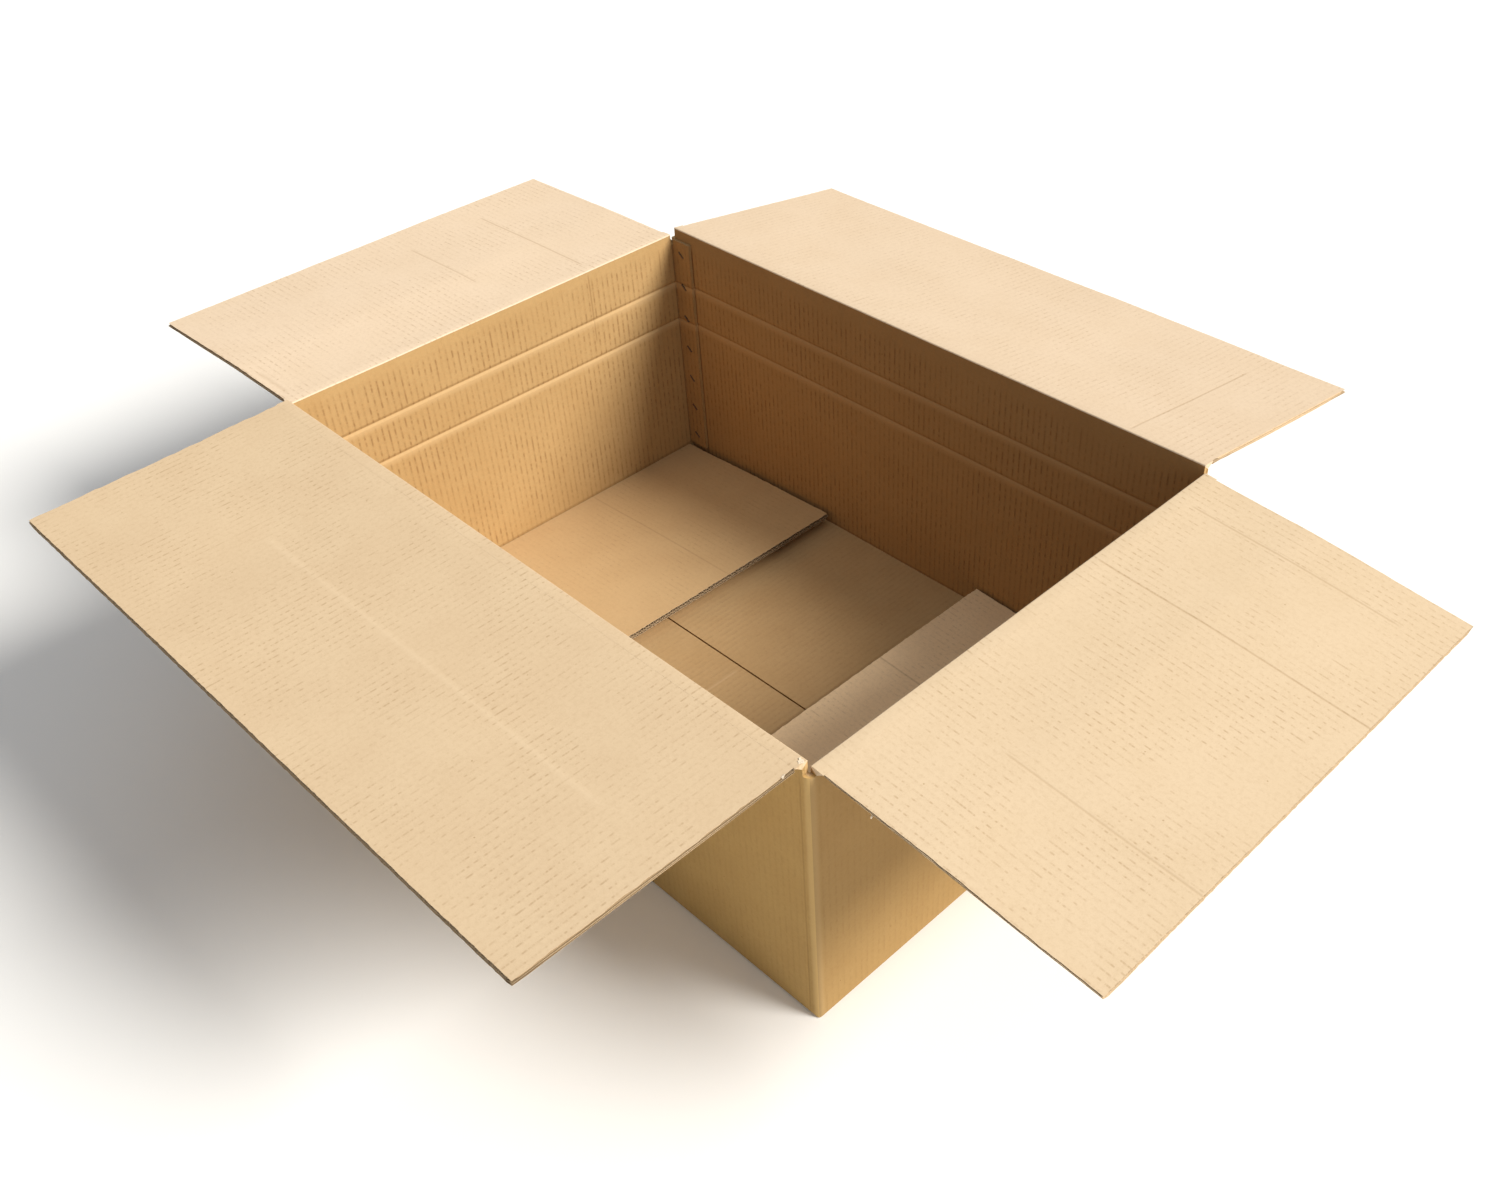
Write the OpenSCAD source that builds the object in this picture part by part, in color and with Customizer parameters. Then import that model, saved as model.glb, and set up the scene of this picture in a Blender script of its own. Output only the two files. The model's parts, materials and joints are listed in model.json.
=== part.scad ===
// Open shipping box folded from one sheet of double-wall corrugated board.
// Long walls face front (-Y) and back (+Y), short walls face left (-X) and right (+X).
// The origin is the centre of the underside, +Z up, all lengths in millimetres.

/* [Box] */
// Outer length, along the long walls
box_l = 800; // [600:10:1000]
// Outer width, along the short walls
box_w = 560; // [420:10:700]
// Outer height with the flaps closed
box_h = 325; // [260:5:420]

/* [Board] */
// Thickness of each of the three flat liners
liner_t = 0.35; // [0.25:0.05:0.5]
// Thickness of the two fluted sheets between them
medium_t = 0.3; // [0.2:0.05:0.4]
// Height of the coarse flutes, under the inner liner
inner_flute_h = 3.4; // [3:0.1:4]
// Pitch of the coarse flutes
inner_flute_pitch = 7.7; // [7:0.1:9]
// Height of the fine flutes, under the outer liner
outer_flute_h = 2.15; // [1.8:0.05:2.6]
// Pitch of the fine flutes
outer_flute_pitch = 6.4; // [5.6:0.1:7]

/* [Folds] */
// Outer radius of the upright corner folds
corner_r = 7; // [5:0.5:10]
// Outer radius of the folds round the underside
foot_r = 4; // [2:0.5:6]
// Width of the crushed band along each flap's crease
crease_w = 14; // [10:1:24]
// Gap left at every fold and between boards that lie on each other
fold_gap = 0.3; // [0.2:0.05:0.5]
// Gap between a closed flap's cut side and the wall beside it
side_gap = 0.9; // [0.5:0.1:3]
// Gap between two long flaps where they meet
seam_gap = 2; // [1:0.5:4]

/* [Depth scores] */
// Drop from the long walls' top crease to the upper score
upper_score_drop = 66; // [40:2:90]
// Drop from the long walls' top crease to the lower score
lower_score_drop = 118; // [100:2:160]
// Width of a score across its groove
score_w = 7; // [4:0.5:10]
// Depth of a score's groove
score_d = 1; // [0.5:0.1:1.5]

/* [Flap angles] */
// Front top flap, degrees above level
front_tilt = -0.5; // [-20:0.5:20]
// Right top flap, degrees above level
right_tilt = -6.5; // [-20:0.5:20]
// Back top flap, degrees above level
back_tilt = -8; // [-20:0.5:20]
// Left top flap, degrees above level
left_tilt = -2; // [-20:0.5:20]
// Left bottom flap, degrees above the floor of the box
left_bottom_tilt = 2.5; // [0:0.5:10]
// Right bottom flap, degrees above the floor of the box
right_bottom_tilt = 4; // [0:0.5:10]

/* [Glue tab] */
// Width of the tab that joins the left wall to the back wall
tab_w = 31; // [25:1:50]
// Thickness of the crushed tab
tab_t = 4; // [2:0.5:6]
// How far the tab stops short of the bottom flap below it
tab_trim = 3; // [1:0.5:10]
// Setback of the back wall's cut end from the corner
joint_gap = 1.5; // [0.5:0.5:3]

/* [Stitches] */
// Number of wire stitches through the tab
stitch_count = 7; // [3:1:10]
// Length of a stitch's crown
stitch_l = 10; // [8:0.5:14]
// Width of the flat stitching wire
wire_w = 2; // [1.5:0.1:2.6]
// Thickness of the flat stitching wire
wire_t = 0.8; // [0.5:0.1:1]
// Length of each clinched end
clinch_l = 4; // [3:0.5:4.5]
// Distance of the end stitches from the ends of the tab
stitch_margin = 17; // [10:1:30]
// Turn of each stitch from the box's length
stitch_turn = 40; // [0:5:90]
// Gap between a stitch and the board, round its legs and under its ends
stitch_gap = 0.1; // [0.05:0.05:0.3]

/* [Tape] */
// Width of the tape that closes the bottom seam
tape_w = 48; // [36:2:75]
// Thickness of the tape, pressed flush into the liner
tape_t = 0.2; // [0.1:0.05:0.3]
// Height of the tape's tails on the short walls
tape_tail = 60; // [40:5:90]

/* [Hidden] */
$fn = 64;
overrun = 1;
board_t = 3 * liner_t + inner_flute_h + outer_flute_h;
// A long flap closes over the short ones, so its crease sits one board higher.
long_crease_z = box_h;
short_crease_z = box_h - board_t - fold_gap;
flap_inset = board_t + side_gap;
flap_reach = (box_w - seam_gap) / 2;
long_flap_run = box_l - 2 * flap_inset;
short_flap_run = box_w - 2 * flap_inset;
bottom_flap_reach = flap_reach - board_t;
bottom_crease_z = 2 * board_t + fold_gap;
inner_l = box_l - 2 * board_t;
inner_w = box_w - 2 * board_t;
tab_face_y = inner_w / 2 - tab_t;
tab_edge_x = tab_w - inner_l / 2;
tab_bottom_z = bottom_crease_z + tab_trim;
tab_top_z = short_crease_z;
tab_side_trim = tab_t + stitch_gap + wire_t;
stitch_low_z = tab_bottom_z + stitch_margin;
stitch_pitch = (tab_top_z - tab_bottom_z - 2 * stitch_margin) / (stitch_count - 1);
score_heights = [long_crease_z - upper_score_drop, long_crease_z - lower_score_drop];

kraft_inside = [0.80, 0.66, 0.46];
kraft_outside = [0.72, 0.57, 0.36];
steel_dull = [0.42, 0.38, 0.33];
tape_tan = [0.66, 0.50, 0.30];

// One open cell of a flute: a triangle that stands on its base, clear of the sheet on both sides.
module flute_cell(pitch, flute_h) {
    lean = atan2(2 * flute_h, pitch);
    half_base = (pitch - medium_t / sin(lean)) / 2;
    peak = flute_h - medium_t / (2 * cos(lean));
    polygon([[-half_base, 0], [half_base, 0], [0, peak]]);
}

// A row of cells between two liners, evened out so that both cut sides pass through an open flute.
module flute_row(run, pitch, flute_h) {
    count = round(run / pitch);
    even_pitch = run / count;
    for (i = [0 : count])
        translate([i * even_pitch - run / 2, 0])
            flute_cell(even_pitch, flute_h);
    for (i = [1 : count])
        translate([i * even_pitch - (run + even_pitch) / 2, flute_h])
            mirror([0, 1])
                flute_cell(even_pitch, flute_h);
}

// The open cells of the whole section, with the outer liner at the bottom.
module double_wall_cells(run) {
    translate([0, liner_t])
        flute_row(run, outer_flute_pitch, outer_flute_h);
    translate([0, 2 * liner_t + outer_flute_h])
        flute_row(run, inner_flute_pitch, inner_flute_h);
}

// A flap lying level, outer liner down: crease along X at the origin, board towards -Y.
// The flutes run out of the free edge and are crushed shut along the crease.
module flap_board(run, reach, root_lean) {
    difference() {
        rotate([90, 0, -90])
            linear_extrude(run, center = true)
                polygon([[fold_gap, 0], [fold_gap + root_lean, board_t], [reach, board_t], [reach, 0]]);
        translate([0, -crease_w, 0])
            rotate([90, 0, 0])
                linear_extrude(reach)
                    double_wall_cells(run);
    }
}

// A top flap turned about its crease, which lies on the wall's outer face. Both sides of the
// crease are mitred, so the flap can close over the box or hang down outside it. A trim shortens
// one side to pass the tab.
module top_flap(turn, wall_distance, crease_z, run, tilt, trim) {
    rotate([0, 0, turn])
        translate([0, -wall_distance, crease_z])
            rotate([-tilt, 0, 0])
                translate([trim / 2, 0, 0])
                    color(kraft_inside)
                        flap_board(run - trim, flap_reach, board_t);
}

// A short bottom flap, folded in over the long ones. It lifts about the foot of its wall.
module bottom_flap(turn, tilt, trim) {
    rotate([0, 0, turn])
        translate([0, -inner_l / 2, bottom_crease_z])
            rotate([-tilt, 0, 180])
                translate([-trim / 2, 0, -board_t])
                    color(kraft_inside)
                        flap_board(short_flap_run - trim, bottom_flap_reach, 0);
}

// The waste outside a rounded corner, with the material towards -X and -Y.
module corner_waste(radius) {
    difference() {
        translate([-radius, -radius])
            square(radius + overrun);
        translate([-radius, -radius])
            circle(radius);
    }
}

// Plan of the four walls: three round folds, and the corner where the sheet's two ends meet.
module walls_plan() {
    difference() {
        square([box_l, box_w], center = true);
        square([inner_l, inner_w], center = true);
        translate([box_l / 2, box_w / 2])
            corner_waste(corner_r);
        for (side = [-1, 1])
            translate([side * box_l / 2, -box_w / 2])
                rotate(side * 45 - 135)
                    corner_waste(corner_r);
        joint_corner_waste();
    }
}

// The back wall's end is cut square, and the left wall folds round inside it to become the tab.
module joint_corner_waste() {
    fold_y = inner_w / 2 - fold_gap - corner_r;
    translate([-box_l / 2 - overrun, inner_w / 2])
        square([joint_gap + overrun, board_t + overrun]);
    difference() {
        translate([-box_l / 2 - overrun, fold_y])
            square([board_t + overrun, corner_r + fold_gap]);
        translate([corner_r - box_l / 2, fold_y])
            circle(corner_r);
    }
}

// Cuts one wall's top to its mitred crease, from the outer face down to the inner face.
module crease_cut(turn, wall_distance, crease_z, run) {
    rise = box_h - crease_z + overrun;
    reach = board_t + overrun;
    rotate([0, 0, turn])
        translate([0, -wall_distance, crease_z])
            rotate([90, 0, 90])
                linear_extrude(run, center = true)
                    polygon([[-overrun, overrun], [reach, -reach], [reach, rise], [-overrun, rise]]);
}

// Cuts the corner columns level where the slots between the flaps end.
module corner_tops_cut() {
    slot_w = 2 * flap_inset;
    for (side_x = [-1, 1], side_y = [-1, 1])
        translate([side_x * box_l / 2, side_y * box_w / 2, short_crease_z + box_h / 2])
            cube([slot_w, slot_w, box_h], center = true);
}

// Rounds the fold at the foot of one wall.
module foot_cut(turn, wall_distance, run) {
    rotate([0, 0, turn])
        translate([0, -wall_distance, 0])
            rotate([90, 180, 90])
                linear_extrude(run + 2 * overrun, center = true)
                    corner_waste(foot_r);
}

// A score pressed into a wall's inner face at every score height.
module score_cut(turn, face_distance, run, shift) {
    rotate([0, 0, turn])
        for (z = score_heights)
            translate([shift, -face_distance, z])
                rotate([90, 0, 90])
                    linear_extrude(run, center = true)
                        polygon([[score_d, 0], [0, score_w / 2], [-score_d, 0], [0, -score_w / 2]]);
}

// The back wall's scores stop at the tab, which carries its own.
module score_cuts() {
    score_cut(0, inner_w / 2, inner_l, 0);
    score_cut(90, inner_l / 2, inner_w, 0);
    score_cut(180, inner_w / 2, inner_l - tab_w, -tab_w / 2);
    score_cut(180, tab_face_y, tab_w, (inner_l - tab_w) / 2);
    score_cut(270, inner_l / 2, inner_w - tab_t, tab_t / 2);
}

// The long bottom flaps, folded last and held shut by the tape.
module long_bottom_flaps() {
    for (turn = [0, 180])
        rotate([0, 0, turn])
            translate([-long_flap_run / 2, -box_w / 2, 0])
                cube([long_flap_run, flap_reach, board_t]);
}

module glue_tab() {
    translate([-inner_l / 2, tab_face_y, tab_bottom_z])
        cube([tab_w, tab_t, tab_top_z - tab_bottom_z]);
}

// Moves its children to each stitch, with the tab's face at y = 0 and the box's inside at -y.
module at_stitches() {
    for (i = [0 : stitch_count - 1])
        translate([(tab_edge_x - inner_l / 2) / 2, tab_face_y, stitch_low_z + i * stitch_pitch])
            rotate([0, stitch_turn, 0])
                children();
}

// Both legs of a stitch, from the crown's face to the clinched ends.
module stitch_legs(gap) {
    leg_run = tab_t + board_t + 2 * (stitch_gap + wire_t);
    for (side = [-1, 1])
        translate([side * (stitch_l - wire_t) / 2, (tab_t + board_t) / 2, 0])
            cube([wire_t + 2 * gap, leg_run + 2 * gap, wire_w + 2 * gap], center = true);
}

module stitch() {
    stitch_legs(0);
    translate([0, -stitch_gap - wire_t / 2, 0])
        cube([stitch_l, wire_t, wire_w], center = true);
    for (side = [-1, 1])
        translate([side * (stitch_l - clinch_l) / 2, tab_t + board_t + stitch_gap + wire_t / 2, 0])
            cube([clinch_l, wire_t, wire_w], center = true);
}

// Lengthwise outline of the box's foot, used for both faces of the tape.
module foot_outline(inset) {
    half_l = box_l / 2 - inset;
    difference() {
        translate([-half_l, inset])
            square([2 * half_l, tape_tail]);
        translate([half_l, inset])
            rotate(-90)
                corner_waste(foot_r - inset);
        translate([-half_l, inset])
            rotate(180)
                corner_waste(foot_r - inset);
    }
}

module tape_strip() {
    rotate([90, 0, 0])
        linear_extrude(tape_w, center = true)
            difference() {
                foot_outline(0);
                foot_outline(tape_t);
            }
}

// Walls, glue tab and long bottom flaps: the part of the folded sheet that does not move.
module box_body() {
    color(kraft_outside)
        difference() {
            union() {
                linear_extrude(box_h)
                    walls_plan();
                long_bottom_flaps();
                glue_tab();
            }
            for (turn = [0, 180]) {
                crease_cut(turn, box_w / 2, long_crease_z, long_flap_run);
                foot_cut(turn, box_w / 2, box_l);
            }
            for (turn = [90, 270]) {
                crease_cut(turn, box_l / 2, short_crease_z, short_flap_run);
                foot_cut(turn, box_l / 2, box_w);
            }
            corner_tops_cut();
            score_cuts();
            at_stitches()
                stitch_legs(stitch_gap);
            tape_strip();
        }
}

module front_top_flap() {
    top_flap(0, box_w / 2, long_crease_z, long_flap_run, front_tilt, 0);
}

module right_top_flap() {
    top_flap(90, box_l / 2, short_crease_z, short_flap_run, right_tilt, 0);
}

module back_top_flap() {
    top_flap(180, box_w / 2, long_crease_z, long_flap_run, back_tilt, 0);
}

module left_top_flap() {
    top_flap(270, box_l / 2, short_crease_z, short_flap_run, left_tilt, tab_side_trim);
}

module left_bottom_flap() {
    bottom_flap(270, left_bottom_tilt, tab_side_trim);
}

module right_bottom_flap() {
    bottom_flap(90, right_bottom_tilt, 0);
}

module wire_stitches() {
    color(steel_dull)
        at_stitches()
            stitch();
}

module bottom_tape() {
    color(tape_tan)
        tape_strip();
}

box_body();
front_top_flap();
right_top_flap();
back_top_flap();
left_top_flap();
left_bottom_flap();
right_bottom_flap();
wire_stitches();
bottom_tape();
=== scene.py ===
"""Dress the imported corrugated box: paper sheets, creases, torn edges, finishes, light and camera.

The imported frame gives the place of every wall, crease and flap, in metres. Each class below builds
one sub-assembly of the box on that frame and dresses it.
"""
import json
import logging
import math
from collections.abc import Callable, Iterator
from contextlib import contextmanager
from dataclasses import dataclass
from enum import Enum
from functools import cache, cached_property
from typing import ClassVar

import bpy
from mathutils import Matrix, Vector


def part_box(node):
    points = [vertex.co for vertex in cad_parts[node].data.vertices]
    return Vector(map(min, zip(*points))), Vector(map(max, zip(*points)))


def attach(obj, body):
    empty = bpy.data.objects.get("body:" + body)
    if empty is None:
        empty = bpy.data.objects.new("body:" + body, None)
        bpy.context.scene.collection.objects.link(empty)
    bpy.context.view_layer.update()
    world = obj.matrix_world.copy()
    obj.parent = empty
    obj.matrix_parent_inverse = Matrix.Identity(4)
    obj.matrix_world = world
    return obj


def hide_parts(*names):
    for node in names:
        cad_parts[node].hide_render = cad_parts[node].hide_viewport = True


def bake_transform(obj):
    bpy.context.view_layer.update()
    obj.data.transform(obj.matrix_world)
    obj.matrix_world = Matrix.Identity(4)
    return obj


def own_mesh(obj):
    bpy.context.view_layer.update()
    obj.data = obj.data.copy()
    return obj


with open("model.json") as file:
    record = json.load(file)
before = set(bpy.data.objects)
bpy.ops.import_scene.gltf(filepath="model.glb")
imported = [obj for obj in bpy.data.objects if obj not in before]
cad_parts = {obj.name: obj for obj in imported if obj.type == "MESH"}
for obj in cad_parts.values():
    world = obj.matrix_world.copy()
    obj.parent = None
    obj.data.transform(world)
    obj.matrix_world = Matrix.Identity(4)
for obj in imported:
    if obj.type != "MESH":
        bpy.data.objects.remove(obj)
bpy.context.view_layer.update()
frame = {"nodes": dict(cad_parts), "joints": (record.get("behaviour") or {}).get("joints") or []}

LOG = logging.getLogger("corrugated_box")

MM = 0.001
WELD_GAP = 0.01 * MM
END_SLACK = 0.1 * MM
EDGE_SLACK_SHARE = 0.1
SMOOTH_DEG = 50.0

Color = tuple[float, float, float]
Span = tuple[float, float]
Grid = tuple[int, int]
Piece = bpy.types.Object
Material = bpy.types.Material
Socket = bpy.types.NodeSocket


@dataclass(frozen=True)
class Board:
    """The double-wall board's section, from the outer liner up to the inner one."""

    liner: float = 0.35 * MM
    medium: float = 0.30 * MM
    fine_height: float = 2.15 * MM
    fine_pitch: float = 6.4 * MM
    coarse_height: float = 3.4 * MM
    coarse_pitch: float = 7.7 * MM

    @property
    def thickness(self) -> float:
        """Thickness of the whole board."""
        return 3 * self.liner + self.fine_height + self.coarse_height


BOARD = Board()


class Side(Enum):
    """A side of the box, as the turn about the upright axis that brings the front there, in degrees."""

    FRONT = 0
    RIGHT = 90
    BACK = 180
    LEFT = 270

    @property
    def is_long(self) -> bool:
        """Whether it is a long wall's side, whose flap lies outside the short ones when closed."""
        return self in (Side.FRONT, Side.BACK)

    @property
    def outwards(self) -> tuple[str, float]:
        """The axis that the side faces along, and the sign of that way."""
        return "Y" if self.is_long else "X", 1.0 if self in (Side.RIGHT, Side.BACK) else -1.0


def clamp(value: float) -> float:
    """A value held between 0 and 1."""
    return min(1.0, max(0.0, value))


def turned(degrees: float, axis: str) -> Matrix:
    """A turn about an axis through the origin."""
    return Matrix.Rotation(math.radians(degrees), 4, axis)


def start_fresh() -> None:
    """Leave edit mode and deselect everything, so the next operator acts on one piece only."""
    if bpy.context.mode != "OBJECT":
        bpy.ops.object.mode_set(mode="OBJECT")
    bpy.ops.object.select_all(action="DESELECT")


def select_only(*pieces: Piece) -> None:
    """Select these pieces alone and make the first one active.

    Args:
        pieces: The pieces, at least one.
    """
    start_fresh()
    for piece in pieces:
        piece.select_set(True)
    bpy.context.view_layer.objects.active = pieces[0]


def apply_place(piece: Piece) -> None:
    """Move a piece's place, turn and scale into its mesh."""
    select_only(piece)
    bpy.ops.object.transform_apply(location=True, rotation=True, scale=True)


def apply_modifiers(piece: Piece) -> None:
    """Apply every modifier of a piece in order.

    Args:
        piece: The piece, which keeps the shape that they give it.
    """
    select_only(piece)
    for modifier in list(piece.modifiers):
        bpy.ops.object.modifier_apply(modifier=modifier.name)


def settle(piece: Piece, place: Matrix, smooth_deg: float = SMOOTH_DEG) -> None:
    """Turn a level piece into its place, keep the place in its mesh and smooth its shading.

    Args:
        piece: The piece, built at the origin.
        place: Where it goes.
        smooth_deg: Angle between faces above which an edge stays sharp.
    """
    piece.matrix_world = place
    apply_place(piece)
    bpy.ops.object.shade_smooth_by_angle(angle=math.radians(smooth_deg))


@contextmanager
def editing(piece: Piece, test: Callable[[Vector], bool] | None = None) -> Iterator[None]:
    """Edit a piece's mesh, with the vertices selected that pass a test, and leave edit mode after it.

    Args:
        piece: The mesh object to edit.
        test: Says by its place whether a vertex is selected; without it all are.
    """
    select_only(piece)
    bpy.context.tool_settings.mesh_select_mode = (True, False, False)
    bpy.ops.object.mode_set(mode="EDIT")
    bpy.ops.mesh.select_all(action="DESELECT" if test else "SELECT")
    if test:
        bpy.ops.object.mode_set(mode="OBJECT")
        for vertex in piece.data.vertices:
            vertex.select = test(vertex.co)
        bpy.ops.object.mode_set(mode="EDIT")
    yield
    bpy.ops.object.mode_set(mode="OBJECT")


def weld(piece: Piece) -> None:
    """Merge a mesh's doubled points and turn its faces alike.

    Args:
        piece: The mesh object.
    """
    with editing(piece):
        bpy.ops.mesh.remove_doubles(threshold=WELD_GAP)
        bpy.ops.mesh.normals_make_consistent(inside=False)


def add_grid(name: str, size: Span, faces: Grid, place: tuple[float, float, float] = (0, 0, 0)) -> Piece:
    """Add a level grid.

    Args:
        name: Name of the new object.
        size: Sizes along X and Y.
        faces: Faces along X and Y.
        place: Where the grid's middle is.

    Returns:
        The new object, with its size and place in its mesh.
    """
    start_fresh()
    bpy.ops.mesh.primitive_grid_add(x_subdivisions=faces[0], y_subdivisions=faces[1], size=1.0)
    sheet = bpy.context.active_object
    sheet.name = name
    sheet.scale = (*size, 1.0)
    sheet.location = place
    apply_place(sheet)
    return sheet


@contextmanager
def drawn_strip(name: str, run: float, faces: Grid, first: Vector, second: Vector) -> Iterator[Piece]:
    """Add a strip along X between two points of a section, to be drawn out from its far edge.

    Args:
        name: Name of the new object.
        run: Length along X.
        faces: Faces along X and across.
        first: Where the strip starts, in the section across X.
        second: Where it ends.

    Yields:
        The strip in edit mode, with its far edge selected.
    """
    across = second - first
    strip = add_grid(name, (run, across.length), faces)
    strip.rotation_euler = (math.atan2(across.z, across.y), 0, 0)
    strip.location = (first + second) / 2
    apply_place(strip)
    slack = EDGE_SLACK_SHARE * across.length / faces[1]
    with editing(strip, lambda point: (point - second).yz.length < slack):
        yield strip


def draw_out(move: Vector, steps: int = 1) -> None:
    """Extrude the selected edge in equal steps."""
    for _ in range(steps):
        bpy.ops.mesh.extrude_region_move(TRANSFORM_OT_translate={"value": move / steps})


def weigh(piece: Piece, name: str, share_at: Callable[[Vector], float]) -> None:
    """Make a vertex group whose weight follows each point's place.

    Args:
        piece: The mesh object.
        name: Name of the group.
        share_at: Gives the weight at a place, from 0 to 1.
    """
    group = piece.vertex_groups.new(name=name)
    for vertex in piece.data.vertices:
        group.add([vertex.index], share_at(vertex.co), "REPLACE")


@dataclass(frozen=True)
class Cloud:
    """A cloud texture that moves points: its name, the size of one cloud and the number of finer layers."""

    name: str
    size: float
    layers: int

    @cache
    def texture(self) -> bpy.types.Texture:
        """Make the texture, once.

        Returns:
            The texture, shared by every piece that it shapes.
        """
        texture = bpy.data.textures.new(self.name, "CLOUDS")
        texture.noise_scale = self.size
        texture.noise_depth = self.layers
        return texture


TORN_EDGE = Cloud("Torn Edge", 5.0 * MM, 3)
NICKS = Cloud("Nicks", 11.0 * MM, 2)
RAGGED = Cloud("Ragged", 2.5 * MM, 2)
CRUMPLE = Cloud("Crumple", 26.0 * MM, 2)
RIM_WAVE = Cloud("Rim Wave", 70.0 * MM, 2)
WARP = Cloud("Warp", 240.0 * MM, 1)


def add_displace(piece: Piece, cloud: Cloud | None, direction: str, strength: float, group: str,
                 level: float = 0.5) -> None:
    """Add a Displace modifier that moves points along a direction.

    Args:
        piece: The object to shape.
        cloud: The texture that is read at each point, or None for an even white one.
        direction: Axis of the movement, or NORMAL.
        strength: Distance between the texture's darkest and lightest points, in metres.
        group: Vertex group that limits the movement.
        level: Brightness of the texture that leaves a point in place.
    """
    modifier = piece.modifiers.new("Displace", "DISPLACE")
    modifier.texture = cloud.texture() if cloud else None
    modifier.texture_coords = "LOCAL"
    modifier.direction = direction
    modifier.strength = strength
    modifier.mid_level = level
    modifier.vertex_group = group


def add_thickness(piece: Piece, thickness: float, offset: float = -1.0) -> bpy.types.Modifier:
    """Add a Solidify modifier.

    Args:
        piece: The sheet to thicken.
        thickness: Thickness of the paper.
        offset: Where the sheet lies in it, from -1 at its upper face to 1 at its lower one.

    Returns:
        The modifier.
    """
    solid = piece.modifiers.new("Thickness", "SOLIDIFY")
    solid.thickness = thickness
    solid.offset = offset
    return solid


@dataclass(frozen=True)
class Grain:
    """A noise texture's scale, its number of finer layers and how strong they are."""

    scale: float
    detail: float = 2.0
    roughness: float = 0.5


class NodeTree:
    """A small helper that adds nodes to a tree and links them as it goes."""

    def __init__(self, tree: bpy.types.NodeTree) -> None:
        """Work on an existing node tree."""
        self.tree = tree

    def plug(self, socket: Socket, value: object) -> None:
        """Link a socket to another one, or set its value.

        Args:
            socket: The input socket.
            value: The output socket that it is linked to, or a plain value.
        """
        if isinstance(value, Socket):
            self.tree.links.new(value, socket)
        else:
            socket.default_value = value

    def feed(self, node: bpy.types.Node, **inputs: object) -> None:
        """Link or set a node's inputs, by their names with underscores for spaces."""
        for name, value in inputs.items():
            self.plug(node.inputs[name.replace("_", " ")], value)

    def add(self, kind: str, **inputs: object) -> bpy.types.Node:
        """Add a node and feed its inputs.

        Args:
            kind: Blender's name of the node type.
            inputs: What goes in, by the inputs' names with underscores for spaces.

        Returns:
            The new node.
        """
        node = self.tree.nodes.new(kind)
        self.feed(node, **inputs)
        return node

    def math(self, operation: str, *values: object, held: bool = False) -> Socket:
        """A Math node's result.

        Args:
            operation: Blender's name of the operation.
            values: What it works on.
            held: Whether the result is held between 0 and 1.

        Returns:
            The result's socket.
        """
        node = self.add("ShaderNodeMath")
        node.operation = operation
        node.use_clamp = held
        for socket, value in zip(node.inputs, values):
            self.plug(socket, value)
        return node.outputs[0]

    def times(self, first: object, second: object) -> Socket:
        """One value multiplied by another."""
        return self.math("MULTIPLY", first, second)

    def most(self, first: object, second: object) -> Socket:
        """The greater of two values."""
        return self.math("MAXIMUM", first, second)

    def rest(self, share: object) -> Socket:
        """What a share leaves of 1."""
        return self.math("SUBTRACT", 1.0, share, held=True)

    def size(self, value: object) -> Socket:
        """A value without its sign."""
        return self.math("ABSOLUTE", value)

    def ramp(self, value: object, low: object, high: object) -> Socket:
        """A smooth step.

        Args:
            value: The value that is stepped.
            low: Where the step is 0.
            high: Where it is 1, above or below low.

        Returns:
            The step's socket.
        """
        node = self.add("ShaderNodeMapRange", Value=value, From_Min=low, From_Max=high)
        node.interpolation_type = "SMOOTHSTEP"
        return node.outputs["Result"]

    def noise(self, vector: object, grain: Grain) -> Socket:
        """A noise texture's value."""
        node = self.add("ShaderNodeTexNoise", Vector=vector, Scale=grain.scale, Detail=grain.detail,
                        Roughness=grain.roughness)
        return node.outputs["Fac"]

    def vector(self, x: object, y: object) -> Socket:
        """A level vector made of two values."""
        return self.add("ShaderNodeCombineXYZ", X=x, Y=y).outputs[0]

    def axes(self, vector: object) -> bpy.types.NodeOutputs:
        """A vector's parts, by the names of their axes."""
        return self.add("ShaderNodeSeparateXYZ", Vector=vector).outputs

    def mix(self, factor: object, first: object, second: object) -> Socket:
        """Two values mixed by a factor.

        Args:
            factor: Share of the second value.
            first: The first value.
            second: The second value.

        Returns:
            The mixed value's socket.
        """
        node = self.add("ShaderNodeMix")
        node.data_type = "FLOAT"
        for key, value in ((0, factor), (2, first), (3, second)):
            self.plug(node.inputs[key], value)
        return node.outputs[0]

    def mix_color(self, factor: object, first: object, second: object, blend: str = "MIX") -> Socket:
        """Two colours mixed by a factor.

        Args:
            factor: Share of the second colour.
            first: The first colour.
            second: The second colour.
            blend: Blender's name of the way they mix.

        Returns:
            The mixed colour's socket.
        """
        node = self.add("ShaderNodeMix")
        node.data_type = "RGBA"
        node.blend_type = blend
        for key, value in ((0, factor), (6, first), (7, second)):
            self.plug(node.inputs[key], (*value, 1.0) if isinstance(value, tuple) else value)
        return node.outputs[2]


FLOAT = "NodeSocketFloat"
VECTOR = "NodeSocketVector"


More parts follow.
